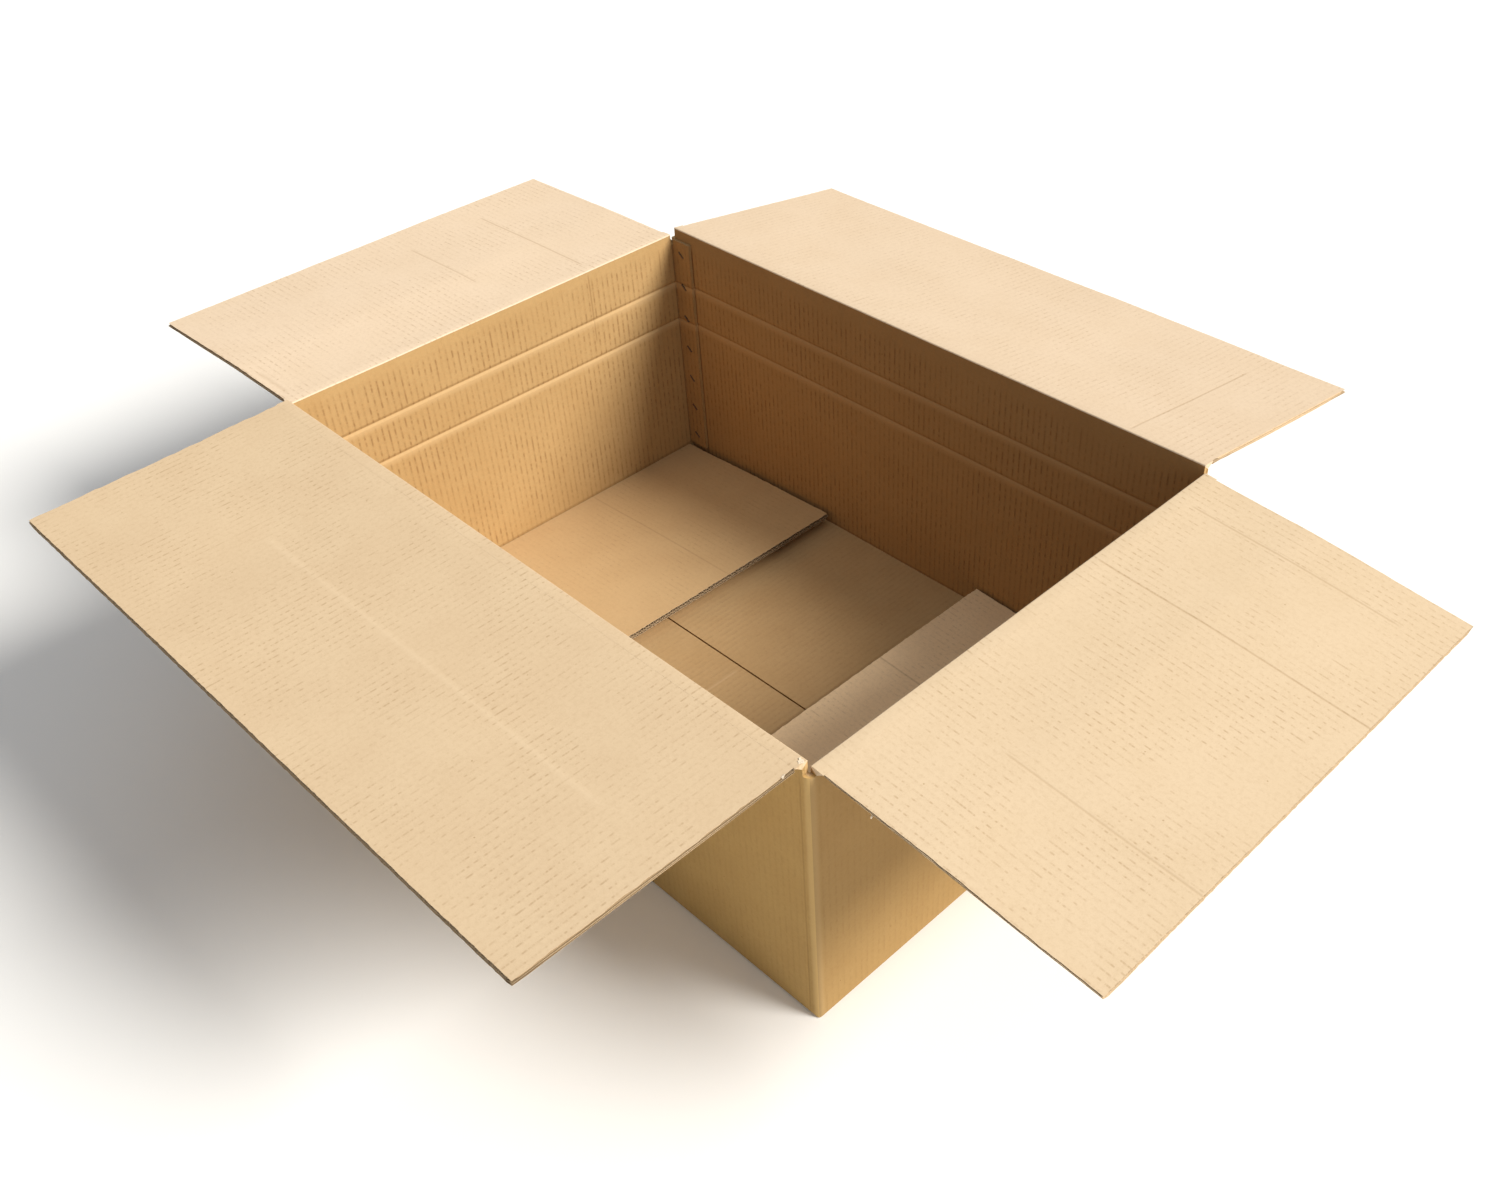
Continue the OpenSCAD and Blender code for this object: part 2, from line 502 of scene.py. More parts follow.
def new_group(name: str, inputs: dict[str, str], outputs: tuple[str, ...]) -> tuple[NodeTree, list[Socket]]:
    """Make an empty shader node group with named sockets.

    Args:
        name: Name of the group.
        inputs: Input names and their socket types.
        outputs: Names of the outputs, which are all values.

    Returns:
        A helper that works on the group, and the group's inputs in order.
    """
    n = NodeTree(bpy.data.node_groups.new(name, "ShaderNodeTree"))
    for label, kind in inputs.items():
        n.tree.interface.new_socket(label, in_out="INPUT", socket_type=kind)
    for label in outputs:
        n.tree.interface.new_socket(label, in_out="OUTPUT", socket_type=FLOAT)
    source = n.add("NodeGroupInput").outputs
    return n, [source[label] for label in inputs]


@dataclass(frozen=True)
class FluteMarks:
    """The flutes that show through a liner: soft ridges, and dark dashes that come and go in patches. In the
    colour they are painted shade of raking light along the flutes; in the bump they are real.
    """

    wander: float = 1.6 * MM
    wander_grain: Grain = Grain(14.0)
    row_shift: float = 3.7
    break_grain: Grain = Grain(1.0, 3.0, 0.6)
    break_width: float = 0.22
    patch_grain: Grain = Grain(13.0, 3.0, 0.6)
    patch_stretch: float = 0.7
    patch_span: Span = (0.36, 0.62)

    def build(self) -> bpy.types.NodeTree:
        """Make the group.

        Returns:
            A group with the outputs Ridge and Dash, both from 0 to 1.
        """
        labels = ("Along", "Flow", "Pitch", "Length", "Quiet", "Thin", "Sparse")
        n, sockets = new_group("Flute Marks", dict.fromkeys(labels, FLOAT), ("Ridge", "Dash"))
        along, flow, pitch, length, quiet, thin, sparse = sockets
        drift = n.math("SUBTRACT", n.noise(n.vector(along, flow), self.wander_grain), 0.5)
        phase = n.math("DIVIDE", n.math("ADD", along, n.times(drift, self.wander)), pitch)
        wave = n.math("COSINE", n.times(phase, 2 * math.pi))
        ridge = n.math("MULTIPLY_ADD", wave, 0.5, 0.5)
        row = n.times(n.math("ROUND", phase), self.row_shift)
        streak = n.noise(n.vector(row, n.math("DIVIDE", flow, length)), self.break_grain)
        breaks = n.ramp(streak, sparse, n.math("ADD", sparse, self.break_width))
        patch = n.noise(n.vector(n.times(along, self.patch_stretch), flow), self.patch_grain)
        share = n.mix(n.ramp(patch, *self.patch_span), quiet, 1.0)
        dash = n.times(n.ramp(ridge, thin, 1.0), breaks)
        n.add("NodeGroupOutput", Ridge=n.times(ridge, share), Dash=n.times(dash, share))
        return n.tree


@dataclass(frozen=True)
class PaperTone:
    """Kraft paper close up: cloudy tone, fine fibres and a few dark specks."""

    cloud: Grain = Grain(14.0, 4.0, 0.6)
    mottle: Grain = Grain(260.0, 3.0, 0.6)
    fibre: Grain = Grain(900.0, 3.0, 0.65)
    speck_scale: float = 60.0
    speck_size: float = 0.05
    speck_free_share: float = 0.82

    def build(self) -> bpy.types.NodeTree:
        """Make the group.

        Returns:
            A group with the outputs Cloud, Mottle, Fibre and Speck, all from 0 to 1.
        """
        n, (place,) = new_group("Paper Tone", {"Place": VECTOR}, ("Cloud", "Mottle", "Fibre", "Speck"))
        cells = n.add("ShaderNodeTexVoronoi", Vector=place, Scale=self.speck_scale).outputs
        lucky = n.add("ShaderNodeSeparateColor", Color=cells["Color"]).outputs["Red"]
        speck = n.times(n.math("LESS_THAN", cells["Distance"], self.speck_size),
                        n.math("GREATER_THAN", lucky, self.speck_free_share))
        n.add("NodeGroupOutput", Cloud=n.noise(place, self.cloud), Mottle=n.noise(place, self.mottle),
              Fibre=n.noise(place, self.fibre), Speck=speck)
        return n.tree


def press_line_group() -> bpy.types.NodeTree:
    """One straight line pressed into a board.

    Returns:
        A group whose output Line is 1 on the line and falls to 0 beside it.
    """
    n, sockets = new_group("Press Line", dict.fromkeys(("Along", "Place", "Width"), FLOAT), ("Line",))
    along, place, width = sockets
    share = n.math("DIVIDE", n.size(n.math("SUBTRACT", along, place)), width)
    n.add("NodeGroupOutput", Line=n.rest(share))
    return n.tree


FLUTE_MARKS = FluteMarks().build()
PAPER_TONE = PaperTone().build()
PRESS_LINE = press_line_group()


class Finish:
    """A material under construction, with a Principled shader and a helper for its nodes."""

    def __init__(self, name: str, roughness: float = 0.5, specular: float = 0.5) -> None:
        """Start a material.

        Args:
            name: Name of the material.
            roughness: Roughness, where nothing varies it.
            specular: Specular level over the whole surface.
        """
        self.material = bpy.data.materials.new(name)
        self.material.use_nodes = True
        self.nodes = NodeTree(self.material.node_tree)
        self.shader = self.material.node_tree.nodes["Principled BSDF"]
        self.nodes.feed(self.shader, Roughness=roughness, Specular_IOR_Level=specular)
        self.place = self.nodes.add("ShaderNodeTexCoord").outputs["Object"]

    def group(self, tree: bpy.types.NodeTree, **inputs: object) -> bpy.types.NodeOutputs:
        """Place a shared node group in the material and feed its inputs.

        Args:
            tree: The group.
            inputs: What goes in, by the inputs' names.

        Returns:
            The group's outputs.
        """
        node = self.nodes.add("ShaderNodeGroup")
        node.node_tree = tree
        self.nodes.feed(node, **inputs)
        return node.outputs

    def bump(self, height: object, depth: float, share: float, **under: Socket) -> Socket:
        """A bump from a height that varies over the surface.

        Args:
            height: The height's socket.
            depth: Depth of a height of 1, in metres.
            share: Share of the bump that shows.
            under: Normal of another bump to build on, by the name Normal.

        Returns:
            The bumped normal.
        """
        node = self.nodes.add("ShaderNodeBump", Height=height, Distance=depth, Strength=share, **under)
        return node.outputs["Normal"]

    def paint(self, **sockets: object) -> Material:
        """Feed the shader's sockets and give back the finished material."""
        self.nodes.feed(self.shader, **sockets)
        return self.material


@dataclass(frozen=True)
class KraftTone:
    """The colours of a kraft liner, and how strongly its flutes, fibres and marks show."""

    light: Color = (0.635, 0.485, 0.315)
    dark: Color = (0.615, 0.463, 0.297)
    # Colour of the fibres, mottle and specks, and of the painted shade of the flute dashes, score lines,
    # sunk pressed lines and the walls' foot.
    dash: Color = (0.33, 0.205, 0.10)
    # Painted highlight: the colour of the score lips, the outer corners and the raised pressed lines.
    lip: Color = (0.70, 0.545, 0.365)
    dash_share: float = 0.46
    dash_length: float = 5.0 * MM
    dash_thin: float = 0.80
    dash_sparse: float = 0.43
    dash_height: float = -1.6
    quiet: float = 0.20
    ridge_depth: float = 0.04 * MM
    ridge_share: float = 0.02
    cloud_span: Span = (0.3, 0.7)
    crease_cloud_share: float = 0.08
    crease_span: Span = (0.38, 0.56)
    fibre_span: Span = (0.45, 0.75)
    fibre_share: float = 0.12
    fibre_depth: float = 0.04 * MM
    fibre_bump: float = 0.5
    mottle_span: Span = (0.42, 0.70)
    mottle_share: float = 0.09
    speck_share: float = 0.55
    score_shade_share: float = 0.22
    lip_share: float = 0.6
    roughness_span: Span = (0.80, 0.95)
    crease_roughness: float = 0.88
    specular: float = 0.22


@dataclass(frozen=True)
class Press:
    """A line pressed into the board: its place across the flutes, its ends along them, and the strength of
    its painted colour. Its bump is real; its colour is painted shade along a sunk line and painted highlight
    along a raised one.

    A line that crosses has its place along the flutes and its ends across them. A line with a side is
    kept to that wall, beyond a distance from the box's middle.
    """

    RAISED_HEIGHT: ClassVar[float] = 2.0
    SUNK_HEIGHT: ClassVar[float] = -3.0

    place: float
    start: float
    end: float
    strength: float
    width: float = 1.8 * MM
    crosses: bool = False
    raised: bool = False
    side: Side | None = None
    beyond: float = 0.0
    fade: float = 6.0 * MM


@dataclass(frozen=True)
class WallMarks:
    """Painted shade and highlight on the walls, and how each of their faces is tinted.

    The scores run across the inner faces, each a dark line of painted shade with a light lip of painted
    highlight under it. A dark line of painted shade runs along the foot of the long and the short walls,
    and a light ridge of painted highlight runs up each outer corner.
    """

    scores: tuple[float, ...] = (259.0 * MM, 207.0 * MM)
    line_rise: Span = (-1.2 * MM, 0.4 * MM)
    line_fall: Span = (3.0 * MM, 0.6 * MM)
    lip_rise: Span = (-12.0 * MM, -3.0 * MM)
    lip_fall: Span = (0.4 * MM, -1.0 * MM)
    rim: float = 318.0 * MM
    rim_calm: float = 16.0 * MM
    hidden_calm_share: float = 0.75
    # Painted shade: a dark line in the inside crease where each wall meets the floor.
    foot_shade_heights: Span = (BOARD.thickness + 1.2 * MM, 2 * BOARD.thickness + 1.6 * MM)
    foot_shade_span: Span = (3.2 * MM, 0.8 * MM)
    foot_shade_strength: float = 1.8
    # Painted highlight up each outer corner.
    corner_highlight_span: Span = (-6.0 * MM, -1.0 * MM)
    upright_share: float = 0.72
    level_share: float = 0.8
    outer_tint: Color = (1.0, 0.98, 0.80)
    # Painted shade on the ends' outer faces and on the back wall's inside; painted skylight, lighter and
    # bluer, on the floor.
    end_shade_tint: Color = (0.76, 0.75, 0.80)
    back_shade_tint: Color = (0.79, 0.715, 0.67)
    floor_skylight_tint: Color = (1.02, 1.04, 1.16)


class KraftFinish:
    """Kraft liner over flutes, the finish of every flat face of the box."""

    def __init__(self, name: str, tone: KraftTone) -> None:
        """Start the finish.

        Args:
            name: Name of the material.
            tone: Its colours and how strongly its marks show.
        """
        self.tone = tone
        self.finish = Finish(name, tone.crease_roughness, tone.specular)
        self.nodes = self.finish.nodes
        self.axes = self.nodes.axes(self.finish.place)
        self.paper = self.finish.group(PAPER_TONE, Place=self.finish.place)

    def stain(self, color: object, mask: object, share: float, tint: Color | None = None) -> Socket:
        """A colour with a tint laid over it by a mask, by default the tint of the dashes."""
        return self.nodes.mix_color(self.nodes.times(mask, share), color, tint or self.tone.dash)

    def press_line(self, press: Press, along: object, flow: object) -> Socket:
        """The mask of a pressed line, which fades out at its ends.

        Args:
            press: The line.
            along: Coordinate that counts the flutes.
            flow: Coordinate that runs along them.

        Returns:
            The mask's socket.
        """
        n = self.nodes
        across, run = (flow, along) if press.crosses else (along, flow)
        line = self.finish.group(PRESS_LINE, Along=across, Place=press.place, Width=press.width)["Line"]
        starts = n.ramp(run, press.start - press.fade, press.start + press.fade)
        ends = n.ramp(run, press.end + press.fade, press.end - press.fade)
        line = n.times(line, n.times(starts, ends))
        if press.side is None:
            return line
        axis, sign = press.side.outwards
        return n.times(line, n.math("GREATER_THAN", n.times(self.axes[axis], sign), press.beyond))

    def liner(self, along: object, flow: object, presses: tuple[Press, ...], calm: object = 0.0,
              scores: tuple[Socket, Socket] | None = None,
              tints: tuple[tuple[Socket, Color], ...] = ()) -> Material:
        """Paint the liner.

        Args:
            along: Coordinate that counts the flutes.
            flow: Coordinate that runs along them.
            presses: Lines pressed into the board.
            calm: Share by which the dashes are hidden.
            scores: Masks of the painted shade along the score lines and of the painted highlight on the lips
                under them, with the walls' foot and corners, both from 0 to 1.
            tints: Colours that the paper is multiplied by, each with its share.

        Returns:
            The finished material.
        """
        f, n, tone, paper = self.finish, self.nodes, self.tone, self.paper
        marks = f.group(FLUTE_MARKS, Along=along, Flow=flow, Pitch=BOARD.coarse_pitch,
                        Length=tone.dash_length, Quiet=tone.quiet, Thin=tone.dash_thin,
                        Sparse=tone.dash_sparse)
        shown = n.rest(calm)
        dash = n.times(marks["Dash"], shown)
        color = n.mix_color(n.ramp(paper["Cloud"], *tone.cloud_span), tone.dark, tone.light)
        color = self.stain(color, n.ramp(paper["Fibre"], *tone.fibre_span), tone.fibre_share)
        color = self.stain(color, n.ramp(paper["Mottle"], *tone.mottle_span), tone.mottle_share)
        # Painted shade of the flutes: the ridges and dashes darken the colour as raking light would, besides
        # their bump below.
        color = self.stain(color, n.times(marks["Ridge"], shown), tone.ridge_share)
        color = self.stain(color, dash, tone.dash_share)
        height = n.math("MULTIPLY_ADD", dash, tone.dash_height, marks["Ridge"])
        for press in presses:
            line = self.press_line(press, along, flow)
            # Painted shade along a sunk line and painted highlight along a raised one; the step in height
            # below is the real bump.
            color = self.stain(color, line, press.strength, tone.lip if press.raised else tone.dash)
            step = press.RAISED_HEIGHT if press.raised else press.SUNK_HEIGHT
            height = n.math("MULTIPLY_ADD", line, step, height)
        if scores is not None:
            lines, lips = scores
            # Painted highlight on the lips and corners, and painted shade along the score lines and the
            # walls' foot.
            color = self.stain(color, lips, tone.lip_share, tone.lip)
            color = self.stain(color, lines, tone.score_shade_share)
        color = self.stain(color, paper["Speck"], tone.speck_share)
        for share, tint in tints:
            color = n.mix_color(share, color, tint, "MULTIPLY")
        fine = f.bump(paper["Fibre"], tone.fibre_depth, tone.fibre_bump)
        return f.paint(Base_Color=color, Roughness=n.mix(paper["Cloud"], *tone.roughness_span),
                       Normal=f.bump(height, tone.ridge_depth, 1.0, Normal=fine))

    def crease(self, wall: KraftTone) -> Material:
        """Paint a crease, whose colour runs from the wall's to the flap's by the share kept on its points.

        Args:
            wall: Tone of the wall.

        Returns:
            The finished material.
        """
        f, n, tone, paper = self.finish, self.nodes, self.tone, self.paper
        share = n.add("ShaderNodeAttribute")
        share.attribute_name = CreaseFold.SHARE
        # The wall's tone is the shaded copy of the kraft and the flap's the lit one, so the colour runs from
        # painted shade to painted light round the bend.
        color = n.mix_color(n.ramp(share.outputs["Fac"], *tone.crease_span), wall.light, tone.light)
        cloudy = n.ramp(paper["Cloud"], *reversed(tone.cloud_span))
        color = self.stain(color, cloudy, tone.crease_cloud_share)
        color = self.stain(color, n.ramp(paper["Fibre"], *tone.fibre_span), tone.fibre_share)
        return f.paint(Base_Color=color, Normal=f.bump(paper["Fibre"], tone.fibre_depth, tone.fibre_bump))

    def flap(self, side: Side, presses: tuple[Press, ...]) -> Material:
        """Paint a flap, whose flutes run out from its crease."""
        along, flow = ("X", "Y") if side.is_long else ("Y", "X")
        return self.liner(self.axes[along], self.axes[flow], presses)

    def scores(self, marks: WallMarks) -> tuple[Socket, Socket]:
        """The painted shade along the walls' score lines and the painted highlight on the lips under them.

        Args:
            marks: The scores' heights and widths.

        Returns:
            The masks of the lines and of the lips.
        """
        n, line, lip = self.nodes, 0.0, 0.0
        # Each score gets a line of painted shade and, under it, a lip of painted highlight.
        for height in marks.scores:
            above = n.math("SUBTRACT", self.axes["Z"], height)
            line = n.most(line, n.times(n.ramp(above, *marks.line_rise), n.ramp(above, *marks.line_fall)))
            lip = n.most(lip, n.times(n.ramp(above, *marks.lip_rise), n.ramp(above, *marks.lip_fall)))
        return line, lip

    def walls(self, marks: WallMarks, presses: tuple[Press, ...]) -> Material:
        """Paint the walls, whose flutes stand upright, and the floor between them.

        Args:
            marks: Scores, painted shade along the walls' foot, painted highlight up the corners, and tints
                of the walls.
            presses: Lines pressed into the walls and the floor.

        Returns:
            The finished material.
        """
        n, axes = self.nodes, self.axes
        facing = n.axes(n.add("ShaderNodeNewGeometry").outputs["Normal"])
        by_x = n.math("GREATER_THAN", n.size(facing["X"]), marks.upright_share)
        level = n.math("GREATER_THAN", n.size(facing["Z"]), marks.level_share)
        reaches = [n.math("SUBTRACT", n.size(axes[axis]), outer - BOARD.thickness / 2)
                   for axis, outer in zip("XY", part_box("box_body")[1])]
        inside = n.math("LESS_THAN", n.most(*reaches), 0.0)
        outside = n.rest(inside)
        line, lip = self.scores(marks)
        calm = n.most(n.ramp(axes["Z"], marks.rim - marks.rim_calm, marks.rim), lip)
        calm = n.most(calm, n.times(n.most(outside, level), marks.hidden_calm_share))
        # Painted shade along the inside crease where each wall meets the floor.
        above_foot_shade = n.math("SUBTRACT", axes["Z"], n.mix(by_x, *marks.foot_shade_heights))
        bend = n.times(n.ramp(n.size(above_foot_shade), *marks.foot_shade_span), n.rest(level))
        line = n.most(line, n.times(bend, marks.foot_shade_strength))
        # Painted highlight up each outer corner, laid in with the lips.
        corner = n.times(*(n.ramp(reach, *marks.corner_highlight_span) for reach in reaches))
        scores = (n.times(line, inside), n.most(n.times(lip, inside), corner))
        # Painted shade on the back wall's inside and on the ends' outer faces; painted skylight, lighter and
        # bluer, on the floor.
        at_back = n.times(inside, n.math("LESS_THAN", facing["Y"], -marks.upright_share))
        tints = ((outside, marks.outer_tint), (n.times(outside, by_x), marks.end_shade_tint),
                 (at_back, marks.back_shade_tint), (n.times(inside, level), marks.floor_skylight_tint))
        along = n.mix(by_x, axes["X"], axes["Y"])
        flow = n.mix(level, axes["Z"], axes["Y"])
        return self.liner(along, flow, presses, calm, scores, tints)


@dataclass(frozen=True)
class FluteFinish:
    """Bare paper of the flutes and cut edges, with a stretch of painted shade at the +X end where one is
    given.
    """

    name: str
    light: Color
    dark: Color
    soil: Color = (0.22, 0.145, 0.078)
    shaded_from: float | None = None
    shade_fade: float = 3.0 * MM
    fibre_span: Span = (0.3, 0.7)
    fibre_depth: float = 0.08 * MM
    fibre_bump: float = 0.8
    roughness: float = 0.92
    specular: float = 0.15

    @cache
    def build(self) -> Material:
        """Make the material, once.

        Returns:
            The material, shared by every piece of this paper.
        """
        f = Finish(self.name, self.roughness, self.specular)
        n = f.nodes
        fibre = f.group(PAPER_TONE, Place=f.place)["Fibre"]
        tone = n.mix_color(n.ramp(fibre, *self.fibre_span), self.dark, self.light)
        if self.shaded_from is not None:
            shaded = n.ramp(n.axes(f.place)["X"], self.shaded_from, self.shaded_from + self.shade_fade)
            tone = n.mix_color(shaded, tone, n.mix_color(fibre, self.dark, self.soil))
        return f.paint(Base_Color=tone, Normal=f.bump(fibre, self.fibre_depth, self.fibre_bump))


# Lit and shaded copies of one fluting paper: the floor flaps' is the darkest, painted shade inside the box;
# the top flaps' is the lit copy; the front flap's is darker, painted shade in the flute openings of its torn
# side.
SHADED_FLOOR_FLUTES = FluteFinish("Fluting Paper", light=(0.33, 0.225, 0.125), dark=(0.16, 0.100, 0.052))
LIT_FLUTES = FluteFinish("Open Fluting", light=(0.62, 0.475, 0.31), dark=(0.46, 0.335, 0.20))
EDGE_SHADED_FLUTES = FluteFinish("Soiled Fluting", light=LIT_FLUTES.light, dark=(0.40, 0.29, 0.17),
                            shaded_from=382.0 * MM)
CUT_PAPER = FluteFinish("Cut Paper", light=(0.72, 0.56, 0.385), dark=(0.52, 0.38, 0.235))
TORN_PAPER = FluteFinish("Torn Paper", light=(0.80, 0.69, 0.54), dark=(0.62, 0.50, 0.36))


@dataclass(frozen=True)
class WireFinish:
    """Dull flat stitching wire with rust in patches; each span runs from steel to rust."""

    steel: Color = (0.17, 0.13, 0.10)
    rust: Color = (0.10, 0.050, 0.028)
    rust_grain: Grain = Grain(420.0, 3.0)
    rust_span: Span = (0.42, 0.62)
    metallic_span: Span = (0.6, 0.1)
    roughness_span: Span = (0.42, 0.85)

    def build(self) -> Material:
        """Make the material.

        Returns:
            The material.
        """
        f = Finish("Stitching Wire")
        n = f.nodes
        patch = n.ramp(n.noise(f.place, self.rust_grain), *self.rust_span)
        return f.paint(Base_Color=n.mix_color(patch, self.steel, self.rust),
                       Metallic=n.mix(patch, *self.metallic_span),
                       Roughness=n.mix(patch, *self.roughness_span))


@dataclass(frozen=True)
class TapeFinish:
    """Tan packing tape with small wrinkles and trapped air."""

    light: Color = (0.46, 0.31, 0.16)
    dark: Color = (0.36, 0.23, 0.11)
    air_grain: Grain = Grain(45.0)
    air_span: Span = (0.25, 0.80)
    roughness_span: Span = (0.28, 0.46)
    wrinkle_stretch: tuple[float, float, float] = (40.0, 260.0, 60.0)
    wrinkle_grain: Grain = Grain(1.0, 3.0)
    wrinkle_depth: float = 0.2 * MM
    wrinkle_bump: float = 0.6

    def build(self) -> Material:
        """Make the material.

        Returns:
            The material.
        """
        f = Finish("Packing Tape")
        n = f.nodes
        stretched = n.add("ShaderNodeMapping", Vector=f.place, Scale=self.wrinkle_stretch).outputs[0]
        wrinkle = n.noise(stretched, self.wrinkle_grain)
        air = n.ramp(n.noise(f.place, self.air_grain), *self.air_span)
        return f.paint(Base_Color=n.mix_color(air, self.dark, self.light),
                       Roughness=n.mix(air, *self.roughness_span),
                       Normal=f.bump(wrinkle, self.wrinkle_depth, self.wrinkle_bump))


class Paper(Enum):
    """The papers of a flap, by their places among its finishes."""

    LINER = 0
    FLUTE = 1
    CUT = 2


@dataclass
class FlapBoard:
    """One top flap as the real board is made: three liners with two fluted sheets between them.

    The flap is built level, with its crease along X at the origin and its outer liner at the bottom,
    and is then turned into place.
    """

    BODY: ClassVar[str] = "{}_flap"
    NODE: ClassVar[str] = "{}_top_flap"

    side: Side
    tilt_deg: float
    tone: KraftTone
    presses: tuple[Press, ...]
    flutes: FluteFinish = LIT_FLUTES
    reach: float = 279.0 * MM
    root: float = 7.0 * MM
    crushed: float = 14.0 * MM
    torn: float = 1.3 * MM
    nicked: float = 0.8 * MM
    side_crush: float = 3.0 * MM
    side_crush_reach: float = 10.0 * MM
    warp: float = 4.0 * MM
    warp_from: float = 20.0 * MM
    warp_reach: float = 90.0 * MM
    column: float = 4.0 * MM
    inner_rows: int = 48
    inner_set_back: float = 1.2 * MM
    middle_rows: int = 8
    middle_set_back: float = 0.5 * MM
    outer_rows: int = 20
    flute_rows: int = 3
    flute_set_back: float = 1.5 * MM
    flute_smoothing: int = 2
    smooth_deg: float = 40.0

    @property
    def body(self) -> str:
        """The body that the flap rides on."""
        return self.BODY.format(self.side.name.lower())

    @property
    def node(self) -> str:
        """The CAD node that the flap replaces."""
        return self.NODE.format(self.side.name.lower())

    @property
    def name(self) -> str:
        """The flap's own name."""
        return f"{self.body}_board"

    @property
    def joint(self) -> dict:
        """The joint that the flap turns on."""
        return next(joint for joint in frame["joints"] if joint["child"] == self.body)

    @property
    def heading_deg(self) -> float:
        """Turn about the upright axis from the level flap to the flap's side."""
        return self.side.value

    @cached_property
    def ends(self) -> Span:
        """Where the flap's run starts and ends along its crease."""
        axis = 0 if self.side.is_long else 1
        return tuple(corner[axis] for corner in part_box(self.node))

    @property
    def run(self) -> float:
        """Length of the flap along its crease."""
        return self.ends[1] - self.ends[0]

    @property
    def pivot(self) -> Vector:
        """The middle of the flap's crease, from its joint, moved to the middle of the flap's run."""
        place = Vector(self.joint["pos_m"])
        place[0 if self.side.is_long else 1] = sum(self.ends) / 2
        return place

    @property
    def place(self) -> Matrix:
        """Turn from the level flap at the origin to the flap's place."""
        return Matrix.Translation(self.pivot) @ turned(self.heading_deg, "Z") @ turned(-self.tilt_deg, "X")

    @cached_property
    def papers(self) -> tuple[Material, Material, Material]:
        """The flap's papers, in the order of Paper."""
        kraft = KraftFinish(f"Kraft {self.body.replace('_', ' ').title()}", self.tone)
        return kraft.flap(self.side, self.presses), self.flutes.build(), CUT_PAPER.build()

    def liner(self, label: str, height: float, rows: int, set_back: float, upper: Paper,
              lower: Paper) -> Piece:
        """A flat liner with torn cut edges.

        Args:
            label: Name of the sheet.
            height: Middle of the sheet above the flap's lower face.
            rows: Faces out from the crease.
            set_back: Distance that the sheet's cut sides are torn back.
            upper: Paper of the face that looks up.
            lower: Paper of the face that looks down.

        Returns:
            The sheet.
        """
        run = self.run - self.torn - 2 * set_back
        depth = self.reach - self.root - self.torn / 2 - set_back / 2
        faces = (round(self.run / self.column), rows)
        sheet = add_grid(f"{self.name}_{label}", (run, depth), faces, (0, -self.root - depth / 2, height))
        slack = depth / rows / 2
        weigh(sheet, "side_edge", lambda point: float(abs(point.x) > run / 2 - slack))
        weigh(sheet, "free_edge", lambda point: float(point.y < slack - self.root - depth))
        add_displace(sheet, TORN_EDGE, "X", self.torn, "side_edge")
        if upper is Paper.LINER:
            add_displace(sheet, NICKS, "X", self.nicked, "side_edge")
        add_displace(sheet, TORN_EDGE, "Y", self.torn, "free_edge")
        return self.thicken(sheet, BOARD.liner, upper, lower)

    def fluted(self, label: str, middle: float, flute_height: float, pitch: float) -> Piece:
        """A fluted sheet: a grid with every other row of points raised, then smoothed to a wave.

        Args:
            label: Name of the sheet.
            middle: Height of the wave's middle above the flap's lower face.
            flute_height: Height between the liners that the wave touches.
            pitch: Distance between two crests.

        Returns:
            The sheet.
        """
        run = self.run - 2 * self.flute_set_back
        depth = self.reach - self.crushed - self.flute_set_back
        crests = round(run / pitch)
        step = run / (2 * crests)
        # Smoothing keeps a third of a zigzag's height.
        swing = 3 * (flute_height - BOARD.medium)
        sheet = add_grid(f"{self.name}_{label}", (run, depth), (2 * crests, self.flute_rows),
                         (0, -self.crushed - depth / 2, middle - swing / 2))
        with editing(sheet, lambda point: round((point.x + run / 2) / step) % 2 == 1):
            bpy.ops.transform.translate(value=(0, 0, swing))
        smooth = sheet.modifiers.new("Smooth", "SUBSURF")
        smooth.levels = smooth.render_levels = self.flute_smoothing
        return self.thicken(sheet, BOARD.medium, Paper.FLUTE, Paper.FLUTE)

    def thicken(self, sheet: Piece, thickness: float, upper: Paper, lower: Paper) -> Piece:
        """Give a sheet the thickness of its paper, and each of its sides its finish.

        Args:
            sheet: The flat or fluted sheet.
            thickness: Thickness of the paper.
            upper: Paper of the face that looks up.
            lower: Paper of the face that looks down.

        Returns:
            The same sheet, as a closed solid.
        """
        for paper in self.papers:
            sheet.data.materials.append(paper)
        for polygon in sheet.data.polygons:
            polygon.material_index = upper.value
        solid = add_thickness(sheet, thickness, 0.0)
        solid.material_offset = lower.value - upper.value
        solid.material_offset_rim = Paper.CUT.value - upper.value
        apply_modifiers(sheet)
        return sheet

    def sheets(self) -> list[Piece]:
        """The five sheets of the board, each with its papers.

        Returns:
            The sheets from the inner liner down.
        """
        middle = BOARD.liner + BOARD.fine_height
        upwards = [
            self.liner("outer_liner", BOARD.liner / 2, self.outer_rows, 0.0, Paper.FLUTE, Paper.LINER),
            self.fluted("fine_flutes", BOARD.liner + BOARD.fine_height / 2, BOARD.fine_height,
                        BOARD.fine_pitch),
            self.liner("middle_liner", middle + BOARD.liner / 2, self.middle_rows, self.middle_set_back,
                       Paper.FLUTE, Paper.FLUTE),
            self.fluted("coarse_flutes", middle + BOARD.liner + BOARD.coarse_height / 2, BOARD.coarse_height,
                        BOARD.coarse_pitch),
            self.liner("inner_liner", BOARD.thickness - BOARD.liner / 2, self.inner_rows,
                       self.inner_set_back, Paper.LINER, Paper.FLUTE),
        ]
        return upwards[::-1]

